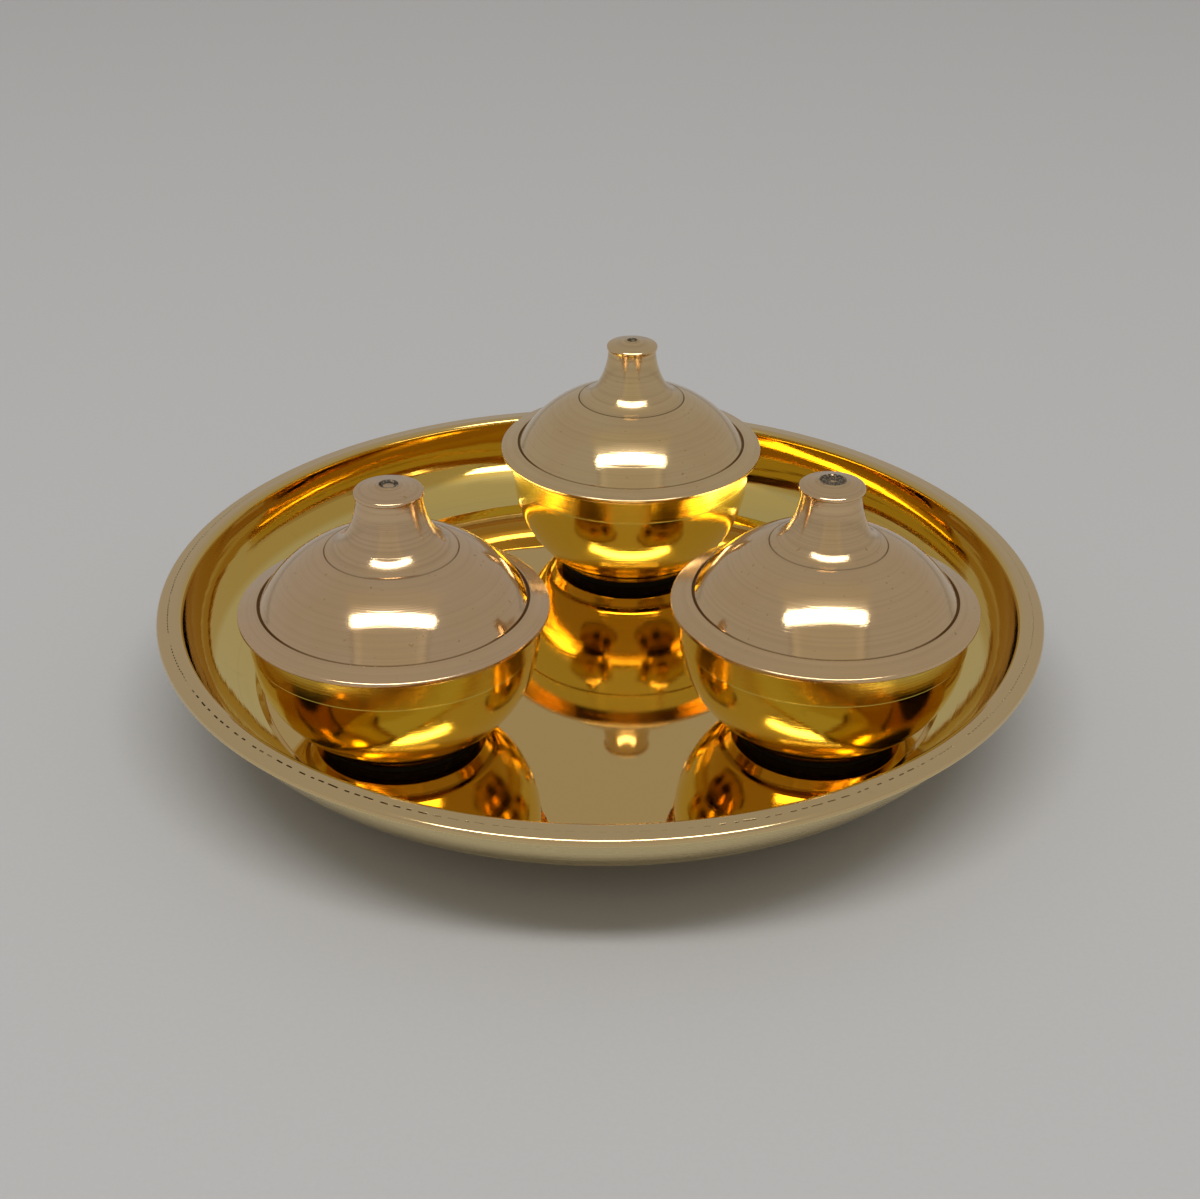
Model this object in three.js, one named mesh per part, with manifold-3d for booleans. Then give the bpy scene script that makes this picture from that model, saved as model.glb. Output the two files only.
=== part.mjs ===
import * as THREE from 'three';
import { mergeVertices } from 'three/addons/utils/BufferGeometryUtils.js';
import Module from 'manifold-3d';

// Puja plate: a round brass plate that carries three small lidded cups.
// Sizes are in millimetres. +Z is up, the plate stands on z = 0 and its axis is x = y = 0.
// An outline is a list of [radius, height] points, walked with the metal on its left.

// Plate, set out inwards from its edge and upwards from its mirror floor.
const plateRadius = 101.5;
const sheet = 1.5;
const rimWidth = 5.9;
const rimSlope = 9;
const rimEdgeRise = 0.91;
const rimInnerRound = 1.6;
const rimOuterRound = 1;
const steepRun = 6.4;
const steepRise = 12;
const shallowRun = 8.4;
const shallowRise = 5.1;
const kneeSlope = 38.6;
const stepRun = 1.9;
const stepRise = 1.9;
const stepRound = 0.5;

// Standing ring, soldered under the floor, and the air left under the screws.
const footRingInset = 10.9;
const footRingWall = 2.4;
const footRingBevel = 0.4;
const airUnderScrews = 2.3;

// Cups. Heights are above the bottom of the cup's foot.
const cupFootRadius = 19;
const cupFootFlare = 1.5;
const cupFootHeight = 2.2;
const cupFootBevel = 0.4;
const cupBowlOverhang = 0.9;
const cupBowlLift = 0.3;
const cupBowlHeight = 22;
const cupBandDepth = 6.8;
const cupWall = 1.8;
const cupFloor = 2.8;
const cupFloorInset = 2.9;

// Lids. Heights are above the cup's mouth.
const lidFlangeEdge = 1;
const lidWall = 2.2;
const lidGrooveWidth = 0.6;
const lidGrooveDepth = 0.4;
const spigotClearance = 0.4;
const spigotDepth = 3;
const spigotWall = 1.8;
const shoulderSlope = 18;
const flareSlope = 62;
const stemSlope = 88;
const knobLip = 1;
const knobBevel = 0.25;
const centreHoleRadius = 1.2;
const centreHoleDepth = 1.4;

// Fasteners: one M5 screw for each cup, with its sealing washer, plain washer and nut.
const screwRadius = 2.4;
const screwClearance = 0.35;
const screwHeadRadius = 4.75;
const screwHeadHeight = 3;
const screwHeadEdge = 1.2;
const screwHeadShoulderRadius = 3.8;
const screwHeadShoulderHeight = 2.55;
const screwHeadTopRadius = 1.9;
const screwEnd = 1.2;
const screwEndBevel = 0.5;
const slotWidth = 1.2;
const slotDepth = 1.4;
const sealInset = 1.6;
const sealHeight = 2.2;
const washerRadius = 5;
const washerHeight = 1;
const nutAcrossFlats = 8;
const nutHeight = 4;

// Facets round a full turn.
const plateFacets = 60;
const cupFacets = 32;
const smallFacets = 20;

// The three turned sets. Each has its angle from +X about the plate's axis, the floor left between
// its foot and the wall, and the sizes of its cup's and lid's own turning.
const rearAngle = 81.8;
const rearFromWall = 6.3;
const rearBandRadius = 29.8;
const rearFlangeRadius = 32.7;
const rearFlangeWidth = 4.1;
const rearShoulderRise = 2.1;
const rearNeckRadius = 13.1;
const rearDomeRise = 11.8;
const rearStemRadius = 5.85;
const rearKnobOverhang = 0.4;
const rearNeckHeight = 13.9;
const rearKnobCrown = 1.4;

const leftAngle = 215.8;
const leftFromWall = 3.7;
const leftBandRadius = 31.4;
const leftFlangeRadius = 33.5;
const leftFlangeWidth = 4.2;
const leftShoulderRise = 2.7;
const leftNeckRadius = 14.3;
const leftDomeRise = 11.9;
const leftStemRadius = 6.95;
const leftKnobOverhang = 0.45;
const leftNeckHeight = 13.6;
const leftKnobCrown = 1.7;

const rightAngle = 328.9;
const rightFromWall = 1.7;
const rightBandRadius = 31.5;
const rightFlangeRadius = 33.4;
const rightFlangeWidth = 4.5;
const rightShoulderRise = 2.9;
const rightNeckRadius = 12.65;
const rightDomeRise = 12.25;
const rightStemRadius = 6.3;
const rightKnobOverhang = 0.75;
const rightNeckHeight = 13.45;
const rightKnobCrown = 1.9;

// Places that follow from these sizes.
const rimInnerRadius = plateRadius - rimWidth;
const kneeRadius = rimInnerRadius - steepRun;
const stepRadius = kneeRadius - shallowRun;
const floorRadius = stepRadius - stepRun;
const kneeHeight = stepRise + shallowRise;
const wallHeight = kneeHeight + steepRise;
const footRingRadius = floorRadius - footRingInset;
const plateUnderside = airUnderScrews + screwEnd + nutHeight + washerHeight;
const floorHeight = plateUnderside + sheet;
const boreRadius = screwRadius + screwClearance;
const cupBase = floorHeight + sealHeight;
const cupFootTopRadius = cupFootRadius + cupFootFlare;
const cupHeight = cupBowlHeight + cupBandDepth;
const sealRadius = cupFootRadius - sealInset;

const sets = [
  {
    name: 'rear', angle: rearAngle, fromWall: rearFromWall,
    bandRadius: rearBandRadius, flangeRadius: rearFlangeRadius,
    flangeWidth: rearFlangeWidth, shoulderRise: rearShoulderRise,
    neckRadius: rearNeckRadius, domeRise: rearDomeRise,
    stemRadius: rearStemRadius, neckHeight: rearNeckHeight,
    knobOverhang: rearKnobOverhang, knobCrown: rearKnobCrown,
  },
  {
    name: 'left', angle: leftAngle, fromWall: leftFromWall,
    bandRadius: leftBandRadius, flangeRadius: leftFlangeRadius,
    flangeWidth: leftFlangeWidth, shoulderRise: leftShoulderRise,
    neckRadius: leftNeckRadius, domeRise: leftDomeRise,
    stemRadius: leftStemRadius, neckHeight: leftNeckHeight,
    knobOverhang: leftKnobOverhang, knobCrown: leftKnobCrown,
  },
  {
    name: 'right', angle: rightAngle, fromWall: rightFromWall,
    bandRadius: rightBandRadius, flangeRadius: rightFlangeRadius,
    flangeWidth: rightFlangeWidth, shoulderRise: rightShoulderRise,
    neckRadius: rightNeckRadius, domeRise: rightDomeRise,
    stemRadius: rightStemRadius, neckHeight: rightNeckHeight,
    knobOverhang: rightKnobOverhang, knobCrown: rightKnobCrown,
  },
];

const brass = { color: 0xb3925a, roughness: 0.08, metalness: 1 };
const cupBrass = { color: 0xb8912f, roughness: 0.1, metalness: 1 };
const lidBrass = { color: 0xa08c73, roughness: 0.16, metalness: 1 };
const steel = { color: 0x9a9c9e, roughness: 0.3, metalness: 1 };
const rubber = { color: 0x0c0806, roughness: 0.6, metalness: 0 };

const degrees = THREE.MathUtils.degToRad;

// Points of a circular arc about a centre, without its first point if skipFirst is set.
function arc(centre, radius, from, to, steps, skipFirst = false) {
  const points = [];
  for (let i = skipFirst ? 1 : 0; i <= steps; i += 1) {
    const angle = degrees(from + (to - from) * i / steps);
    points.push([centre[0] + radius * Math.cos(angle), centre[1] + radius * Math.sin(angle)]);
  }
  return points;
}

// Rounds the corners of an outline. A corner is [radius, height, rounding, steps].
function rounded(corners) {
  const points = [];
  corners.forEach((corner, i) => {
    const [r, z, rounding = 0, steps = 3] = corner;
    if (!rounding) {
      points.push([r, z]);
      return;
    }
    const here = new THREE.Vector2(r, z);
    const back = new THREE.Vector2(...corners[i - 1].slice(0, 2)).sub(here).normalize();
    const ahead = new THREE.Vector2(...corners[i + 1].slice(0, 2)).sub(here).normalize();
    const half = Math.acos(THREE.MathUtils.clamp(back.dot(ahead), -1, 1)) / 2;
    const middle = back.clone().add(ahead).normalize();
    const centre = here.clone().addScaledVector(middle, rounding / Math.sin(half));
    const start = here.clone().addScaledVector(back, rounding / Math.tan(half)).sub(centre);
    const end = here.clone().addScaledVector(ahead, rounding / Math.tan(half)).sub(centre);
    const turn = Math.atan2(start.cross(end), start.dot(end));
    const first = Math.atan2(start.y, start.x);
    const to = THREE.MathUtils.radToDeg(first + turn);
    points.push(...arc([centre.x, centre.y], rounding, THREE.MathUtils.radToDeg(first), to, steps));
  });
  return points;
}

// Corners of the line that runs beside an outline, a distance to its right.
function beside(corners, distance) {
  const lines = corners.slice(1).map(([r, z], i) => {
    const along = new THREE.Vector2(r - corners[i][0], z - corners[i][1]).normalize();
    const start = new THREE.Vector2(corners[i][0] + along.y * distance, corners[i][1] - along.x * distance);
    return { start, along };
  });
  const last = lines[lines.length - 1];
  const end = new THREE.Vector2(...corners[corners.length - 1].slice(0, 2));
  const points = [lines[0].start];
  for (let i = 1; i < lines.length; i += 1) {
    const gap = lines[i].start.clone().sub(lines[i - 1].start);
    const step = gap.cross(lines[i].along) / lines[i - 1].along.cross(lines[i].along);
    points.push(lines[i - 1].start.clone().addScaledVector(lines[i - 1].along, step));
  }
  points.push(end.add(new THREE.Vector2(last.along.y, -last.along.x).multiplyScalar(distance)));
  return points.map((point) => [point.x, point.y]);
}

// Turns an outline about the Z axis.
function turned(outline, facets) {
  const points = outline.map(([r, z]) => new THREE.Vector2(Math.max(r, 0), z));
  return new THREE.LatheGeometry(points, facets).rotateX(Math.PI / 2);
}

// Turns a ring outline, which closes on its own first point.
function turnedRing(outline, facets) {
  return turned([...outline, outline[0]], facets);
}

function piece(name, geometry, finish, z = 0) {
  const mesh = new THREE.Mesh(geometry, new THREE.MeshStandardMaterial(finish));
  mesh.name = name;
  mesh.position.z = z;
  return mesh;
}

const wasm = await Module();
wasm.setup();

function toSolid(geometry) {
  const bare = geometry.clone();
  bare.deleteAttribute('normal');
  bare.deleteAttribute('uv');
  const merged = mergeVertices(bare, 1e-4);
  const vertProperties = new Float32Array(merged.attributes.position.array);
  const triVerts = new Uint32Array(merged.index.array);
  return new wasm.Manifold(new wasm.Mesh({ numProp: 3, vertProperties, triVerts }));
}

function cut(geometry, tools) {
  let solid = toSolid(geometry);
  for (const tool of tools) {
    solid = solid.subtract(toSolid(tool));
  }
  const mesh = solid.getMesh();
  const result = new THREE.BufferGeometry();
  result.setAttribute('position', new THREE.BufferAttribute(mesh.vertProperties, 3));
  result.setIndex(new THREE.BufferAttribute(mesh.triVerts, 1));
  result.computeVertexNormals();
  return result;
}

// Where a set stands on the plate.
function placeOf(set) {
  const out = floorRadius - set.fromWall - cupFootTopRadius;
  return [out * Math.cos(degrees(set.angle)), out * Math.sin(degrees(set.angle))];
}

// Arc that leaves a point at a slope, in degrees, and ends at another point.
function arcFrom(start, slope, end, steps) {
  const chord = [end[0] - start[0], end[1] - start[1]];
  const turn = 2 * (THREE.MathUtils.radToDeg(Math.atan2(chord[1], chord[0])) - slope);
  const radius = Math.hypot(...chord) / (2 * Math.sin(degrees(turn / 2)));
  const centre = [
    start[0] - radius * Math.sin(degrees(slope)),
    start[1] + radius * Math.cos(degrees(slope)),
  ];
  return arc(centre, radius, slope - 90, slope - 90 + turn, steps);
}

// Slope of an arc at one of its two ends, from its slope at the other.
function slopeToMeet(start, end, otherSlope) {
  const chordSlope = THREE.MathUtils.radToDeg(Math.atan2(end[1] - start[1], end[0] - start[0]));
  return 2 * chordSlope - otherSlope;
}

// Plate: mirror floor, a step up to a wall that curves from shallow to steep, and a rim that
// rounds over from the wall and falls a little to its edge.
// All of it is one sheet, spun to shape, so the underside runs beside the upper side.
function plateGeometry() {
  const step = [stepRadius, stepRise];
  const knee = [kneeRadius, kneeHeight];
  const wallTop = [rimInnerRadius, wallHeight];
  const steep = degrees(slopeToMeet(knee, wallTop, kneeSlope));
  const fall = Math.tan(degrees(rimSlope));
  const carriedOn = (rimEdgeRise + fall * rimWidth) / (Math.sin(steep) + fall * Math.cos(steep));
  const rim = [
    [rimInnerRadius + carriedOn * Math.cos(steep), wallHeight + carriedOn * Math.sin(steep),
      rimInnerRound, 3],
    [plateRadius, wallHeight + rimEdgeRise, rimOuterRound, 2],
  ];
  const upper = [
    [0, 0],
    [floorRadius, 0, stepRound, 1],
    [...step, stepRound, 1],
    ...arcFrom(step, slopeToMeet(step, knee, kneeSlope), knee, 3).slice(1),
    ...arcFrom(knee, kneeSlope, wallTop, 4).slice(1),
    ...rim,
  ];
  const under = beside(upper, sheet);
  const edge = under.pop();
  const outline = rounded([
    ...under,
    [plateRadius, edge[1] + (edge[0] - plateRadius) * fall],
    ...upper.reverse(),
  ]);
  const hole = new THREE.CylinderGeometry(boreRadius, boreRadius, 4 * sheet, smallFacets);
  hole.rotateX(Math.PI / 2);
  const holes = sets.map((set) => hole.clone().translate(...placeOf(set), -sheet / 2));
  return cut(turned(outline, plateFacets), holes);
}

function footRingGeometry() {
  const inner = footRingRadius - footRingWall;
  return turnedRing([
    [inner, footRingBevel],
    [inner + footRingBevel, 0],
    [footRingRadius - footRingBevel, 0],
    [footRingRadius, footRingBevel],
    [footRingRadius, plateUnderside],
    [inner, plateUnderside],
  ], plateFacets);
}

// Arc that starts at a foot, with radius and height, and ends upright at the top.
function bowlArc(foot, top, steps) {
  const spread = top[0] - foot[0];
  const rise = top[1] - foot[1];
  const radius = (spread ** 2 + rise ** 2) / (2 * spread);
  const start = -THREE.MathUtils.radToDeg(Math.asin(rise / radius));
  return arc([top[0] - radius, top[1]], radius, start, 0, steps);
}

// Cup: flared foot ring, round bowl and a straight band up to the mouth.
function cupGeometry(set) {
  const outer = bowlArc(
    [cupFootTopRadius + cupBowlOverhang, cupFootHeight + cupBowlLift],
    [set.bandRadius, cupBowlHeight],
    5,
  );
  const inner = bowlArc(
    [cupFootTopRadius - cupFloorInset, cupFloor],
    [set.bandRadius - cupWall, cupBowlHeight],
    4,
  );
  return turnedRing([
    [boreRadius, 0],
    [cupFootRadius - cupFootBevel, 0],
    [cupFootRadius, cupFootBevel],
    [cupFootTopRadius, cupFootHeight],
    ...outer,
    [set.bandRadius, cupHeight],
    [set.bandRadius - cupWall, cupHeight],
    ...inner.reverse(),
    [boreRadius, cupFloor],
  ], cupFacets);
}

// Dome arc from its foot up to the neck, where its slope is the shoulder's.
function domeArc(foot, neck) {
  const spread = foot[0] - neck[0];
  const rise = neck[1] - foot[1];
  const chordSlope = THREE.MathUtils.radToDeg(Math.atan2(rise, spread));
  const radius = Math.hypot(spread, rise) / (2 * Math.sin(degrees(chordSlope - shoulderSlope)));
  const centre = [
    neck[0] - radius * Math.sin(degrees(shoulderSlope)),
    neck[1] - radius * Math.cos(degrees(shoulderSlope)),
  ];
  return { centre, radius, footSlope: 2 * chordSlope - shoulderSlope };
}

// Neck: two arcs that draw in from the shoulder, the lower one tight and the upper one slow,
// to the stem under the knob.
function neckArcs(foot, stem) {
  const sin = [shoulderSlope, flareSlope, stemSlope].map((slope) => Math.sin(degrees(slope)));
  const cos = [shoulderSlope, flareSlope, stemSlope].map((slope) => Math.cos(degrees(slope)));
  const lowerIn = sin[1] - sin[0];
  const lowerUp = cos[0] - cos[1];
  const upperIn = sin[2] - sin[1];
  const upperUp = cos[1] - cos[2];
  const spread = foot[0] - stem[0];
  const rise = stem[1] - foot[1];
  const upper = (rise * lowerIn - spread * lowerUp) / (upperUp * lowerIn - upperIn * lowerUp);
  const lower = (spread - upper * upperIn) / lowerIn;
  const waist = [foot[0] - lower * lowerIn, foot[1] + lower * lowerUp];
  const lowerCentre = [foot[0] + lower * sin[0], foot[1] + lower * cos[0]];
  const upperCentre = [waist[0] + upper * sin[1], waist[1] + upper * cos[1]];
  return [
    ...arc(lowerCentre, lower, 270 - shoulderSlope, 270 - flareSlope, 3, true),
    ...arc(upperCentre, upper, 270 - flareSlope, 270 - stemSlope, 3, true),
  ];
}

// Lid: flange, dome, drawn-in neck and low pointed knob in one casting, hollow under the dome,
// with a spigot that sits inside the cup's mouth.
function lidGeometry(set) {
  const shoulderRadius = set.flangeRadius - set.flangeWidth;
  const neck = [set.neckRadius, set.shoulderRise + set.domeRise];
  const knobRise = neck[1] + set.neckHeight;
  const knobRadius = set.stemRadius + set.knobOverhang;
  const dome = domeArc([shoulderRadius - lidGrooveWidth, set.shoulderRise], neck);
  const spigotRadius = set.bandRadius - cupWall - spigotClearance;
  const spigotInside = spigotRadius - spigotWall;
  const innerNeck = [
    neck[0] - lidWall * Math.sin(degrees(shoulderSlope)),
    neck[1] - lidWall * Math.cos(degrees(shoulderSlope)),
  ];
  const hollow = domeArc([spigotInside, 0], innerNeck);
  return turned([
    [0, hollow.centre[1] + hollow.radius],
    ...arc(hollow.centre, hollow.radius, 90, 90 - hollow.footSlope, 4),
    [spigotInside, -spigotDepth],
    [spigotRadius, -spigotDepth],
    [spigotRadius, 0],
    [set.flangeRadius, 0],
    [set.flangeRadius, lidFlangeEdge],
    [shoulderRadius, set.shoulderRise],
    [shoulderRadius - lidGrooveWidth / 2, set.shoulderRise - lidGrooveDepth],
    ...arc(dome.centre, dome.radius, 90 - dome.footSlope, 90 - shoulderSlope, 4),
    ...neckArcs(neck, [set.stemRadius, knobRise - knobLip]),
    [knobRadius - knobBevel, knobRise - knobLip],
    [knobRadius, knobRise - knobLip + knobBevel],
    [knobRadius, knobRise - knobBevel],
    [knobRadius - knobBevel, knobRise],
    [centreHoleRadius, knobRise + set.knobCrown],
    [0, knobRise + set.knobCrown - centreHoleDepth],
  ], cupFacets);
}

function sealGeometry() {
  return turnedRing([
    [boreRadius, 0],
    [sealRadius, 0],
    [sealRadius, sealHeight],
    [boreRadius, sealHeight],
  ], cupFacets);
}

// Screw: slotted pan head above z = 0, plain shank below.
function screwGeometry() {
  const stack = cupFloor + sealHeight + sheet + washerHeight + nutHeight;
  const tip = -(stack + screwEnd);
  const body = turned([
    [0, tip],
    [screwRadius - screwEndBevel, tip],
    [screwRadius, tip + screwEndBevel],
    [screwRadius, 0],
    [screwHeadRadius, 0],
    [screwHeadRadius, screwHeadEdge],
    [screwHeadShoulderRadius, screwHeadShoulderHeight],
    [screwHeadTopRadius, screwHeadHeight],
    [0, screwHeadHeight],
  ], smallFacets);
  const slot = new THREE.BoxGeometry(3 * screwHeadRadius, slotWidth, 2 * slotDepth);
  slot.translate(0, 0, screwHeadHeight);
  return cut(body, [slot]);
}

function washerGeometry() {
  return turnedRing([
    [boreRadius, 0],
    [washerRadius, 0],
    [washerRadius, washerHeight],
    [boreRadius, washerHeight],
  ], smallFacets);
}

function nutGeometry() {
  const outline = new THREE.Shape();
  const corner = nutAcrossFlats / 2 / Math.cos(Math.PI / 6);
  for (let i = 0; i < 6; i += 1) {
    const angle = i * Math.PI / 3;
    const place = [corner * Math.cos(angle), corner * Math.sin(angle)];
    if (i === 0) {
      outline.moveTo(...place);
    } else {
      outline.lineTo(...place);
    }
  }
  outline.closePath();
  const bore = new THREE.Path();
  bore.absarc(0, 0, boreRadius, 0, 2 * Math.PI, true);
  outline.holes.push(bore);
  return new THREE.ExtrudeGeometry(outline, {
    depth: nutHeight,
    bevelEnabled: false,
    curveSegments: smallFacets / 2,
  });
}

// One cup with its lid and the fastening that holds it to the plate.
function cupSet(set) {
  const group = new THREE.Group();
  const washerBase = plateUnderside - washerHeight;
  group.position.set(...placeOf(set), 0);
  group.add(
    piece(`cup_${set.name}`, cupGeometry(set), cupBrass, cupBase),
    piece(`lid_${set.name}`, lidGeometry(set), lidBrass, cupBase + cupHeight),
    piece(`rubber_washer_${set.name}`, sealGeometry(), rubber, floorHeight),
    piece(`screw_${set.name}`, screwGeometry(), steel, cupBase + cupFloor),
    piece(`washer_${set.name}`, washerGeometry(), steel, washerBase),
    piece(`nut_${set.name}`, nutGeometry(), steel, washerBase - nutHeight),
  );
  return group;
}

const group = new THREE.Group();
group.add(
  piece('plate', plateGeometry(), brass, floorHeight),
  piece('foot_ring', footRingGeometry(), brass),
);
for (const set of sets) {
  group.add(cupSet(set));
}

export default group;
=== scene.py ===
import math

import bmesh
import bpy
from mathutils import Matrix, Vector


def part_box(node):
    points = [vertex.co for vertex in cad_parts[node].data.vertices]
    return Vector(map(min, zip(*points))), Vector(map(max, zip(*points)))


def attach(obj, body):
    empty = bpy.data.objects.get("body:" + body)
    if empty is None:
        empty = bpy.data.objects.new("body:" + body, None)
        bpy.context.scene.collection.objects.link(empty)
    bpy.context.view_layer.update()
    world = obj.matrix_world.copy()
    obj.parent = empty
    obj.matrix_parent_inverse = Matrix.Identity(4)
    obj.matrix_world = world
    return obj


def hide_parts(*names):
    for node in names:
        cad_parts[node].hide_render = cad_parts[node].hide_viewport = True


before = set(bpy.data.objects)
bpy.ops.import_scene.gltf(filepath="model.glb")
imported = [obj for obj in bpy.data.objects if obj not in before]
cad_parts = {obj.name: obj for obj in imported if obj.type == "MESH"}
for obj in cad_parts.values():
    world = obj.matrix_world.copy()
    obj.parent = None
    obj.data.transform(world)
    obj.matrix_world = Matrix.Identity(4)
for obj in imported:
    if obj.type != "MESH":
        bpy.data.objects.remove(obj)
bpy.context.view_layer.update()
mm = 0.001

# The plate: one round dish of polished brass sheet, spun to a mirror floor, a small step, a wall
# that curves from shallow to steep and a broad rim that falls a little to its thin edge. A ring of
# short marks runs round the rim. The three cups are screwed through its floor.

FLOOR_RADIUS = 78.9
STEP = (80.8, 1.9)
STEP_ROUND = 0.5
KNEE = (89.2, 7.0)
KNEE_SLOPE = 38.6
WALL_TOP = (95.6, 19)
RIM_INNER = (95.75, 20.82)
RIM_OUTER = (101.5, 19.91)
SHEET = 1.5
MARK_RADIUS = 98.9
FINE_MARKS = 480
BOLD_MARKS = 215
MARK_WIDTH = 0.1
MARK_DARK = (0.05, 0.03, 0.012)
FLOOR_BRASS = (0.73, 0.505, 0.19)
# Painted light and shade: the wall, the steep wall, the rim and the outside are the same brass sheet as
# the floor. Each gets a lighter or darker copy of its colour for what that part reflects.
WALL_LIT_BRASS = (0.79, 0.6, 0.2)
STEEP_SHADED_BRASS = (0.7, 0.46, 0.1)
RIM_LIT_BRASS = (0.72, 0.53, 0.27)
OUTER_LIT_BRASS = (0.77, 0.63, 0.34)
TARNISH = (0.36, 0.22, 0.05)


def arc(centre, radius, start, end, steps):
    """Points of an arc, with its angles in degrees."""
    angles = [math.radians(start + (end - start) * i / steps) for i in range(steps + 1)]
    return [(centre[0] + radius * math.cos(a), centre[1] + radius * math.sin(a)) for a in angles]


def rounded(corners):
    """An outline whose corners (radius, height, rounding) are turned to small arcs."""
    points = []
    for i, corner in enumerate(corners):
        if len(corner) == 2:
            points.append(tuple(corner))
            continue
        here = Vector(corner[:2])
        back = (Vector(corners[i - 1][:2]) - here).normalized()
        ahead = (Vector(corners[(i + 1) % len(corners)][:2]) - here).normalized()
        half = back.angle(ahead) / 2
        centre = here + (back + ahead).normalized() * corner[2] / math.sin(half)
        first = here + back * corner[2] / math.tan(half) - centre
        last = here + ahead * corner[2] / math.tan(half) - centre
        start = math.degrees(math.atan2(first.y, first.x))
        turn = math.degrees(math.atan2(first.cross(last), first.dot(last)))
        steps = max(3, round(abs(turn) / 9))
        points += arc(centre, corner[2], start, start + turn, steps)
    return points


def held(points, near=0.12):
    """Adds a point close to each end of a straight stretch, so that flats stay flat beside a round."""
    out = [points[0]]
    for a, b in zip(points, points[1:]):
        length = math.dist(a, b)
        if length > 8 * near:
            for t in (near / length, 1 - near / length):
                out.append((a[0] + (b[0] - a[0]) * t, a[1] + (b[1] - a[1]) * t))
        out.append(b)
    return out


def smooth(mesh, sharpest=32):
    mesh.shade_smooth()
    mesh.set_sharp_from_angle(angle=math.radians(sharpest))


def turned(name, outline, centre, base, steps):
    """A piece turned on the lathe: an outline in millimetres, spun about an upright axis."""
    bm = bmesh.new()
    points = held(outline)
    verts = [bm.verts.new((centre[0] + r * mm, centre[1], base + z * mm)) for r, z in points]
    edges = [bm.edges.new(pair) for pair in zip(verts, verts[1:])]
    if outline[0][0] > 0:
        edges.append(bm.edges.new((verts[-1], verts[0])))
    bmesh.ops.spin(
        bm, geom=verts + edges, cent=(*centre, 0), axis=(0, 0, 1), dvec=(0, 0, 0),
        angle=2 * math.pi, steps=steps, use_merge=True,
    )
    bmesh.ops.remove_doubles(bm, verts=bm.verts, dist=1e-6)
    bmesh.ops.recalc_face_normals(bm, faces=bm.faces)
    mesh = bpy.data.meshes.new(name)
    bm.to_mesh(mesh)
    bm.free()
    smooth(mesh)
    piece = bpy.data.objects.new(name, mesh)
    bpy.context.scene.collection.objects.link(piece)
    return piece


def stands_for(piece, node, body):
    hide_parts(node)
    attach(piece, body)


class Value:
    """A number worked out at each point of a surface. Python's own signs add its Math nodes."""

    def __init__(self, finish, socket):
        self.finish = finish
        self.socket = socket

    def __add__(self, other):
        return self.finish.maths("ADD", self, other)

    def __sub__(self, other):
        return self.finish.maths("SUBTRACT", self, other)

    def __mul__(self, other):
        return self.finish.maths("MULTIPLY", self, other)

    def __truediv__(self, other):
        return self.finish.maths("DIVIDE", self, other)

    def __pow__(self, other):
        return self.finish.maths("POWER", self, other)

    def __lt__(self, other):
        return self.finish.maths("LESS_THAN", self, other)

    def __gt__(self, other):
        return self.finish.maths("GREATER_THAN", self, other)

    def __rsub__(self, other):
        return self.finish.maths("SUBTRACT", other, self)

    def __abs__(self):
        return self.finish.maths("ABSOLUTE", self)

    __radd__ = __add__
    __rmul__ = __mul__


class Made:
    """A node that has been added, with its outputs as values."""

    def __init__(self, finish, node):
        self.finish = finish
        self.made = node

    def out(self, name=0):
        return Value(self.finish, self.made.outputs[name])


class Nodes:
    """The nodes of one material, or of the room."""

    def __init__(self, tree):
        self.tree = tree

    def node(self, kind, settings=None, values=()):
        made = self.tree.nodes.new("ShaderNode" + kind)
        for name, value in (settings or {}).items():
            setattr(made, name, value)
        pairs = values.items() if isinstance(values, dict) else enumerate(values)
        for key, value in pairs:
            socket = made.inputs[key]
            if isinstance(value, Value):
                self.tree.links.new(value.socket, socket)
            else:
                socket.default_value = value
        return Made(self, made)

    def maths(self, operation, *values):
        return self.node("Math", {"operation": operation}, values).out()

    def vector(self, x, y, z):
        return self.node("CombineXYZ", values=(x, y, z)).out()

    def noise(self, vector, scale, detail=2.0, roughness=0.5):
        values = {"Vector": vector, "Scale": scale, "Detail": detail, "Roughness": roughness}
        return self.node("TexNoise", {"noise_dimensions": "3D"}, values).out(0)

    def step(self, value, low, high, to_low=0.0, to_high=1.0):
        """Goes smoothly from to_low to to_high as value goes from low to high."""
        values = {"Value": value, "From Min": low, "From Max": high, "To Min": to_low, "To Max": to_high}
        return self.node("MapRange", {"interpolation_type": "SMOOTHSTEP"}, values).out(0)

    def line(self, value, middle, width, soft):
        """1 on a line of that width, 0 beside it."""
        return self.step(abs(value - middle), width / 2, width / 2 + soft, 1.0, 0.0)

    def colour(self, first, second, share):
        values = {"Factor": share, 6: self.tint(first), 7: self.tint(second)}
        return self.node("Mix", {"data_type": "RGBA"}, values).out(2)

    def tint(self, colour):
        return colour if isinstance(colour, Value) else (*colour, 1.0)


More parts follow.
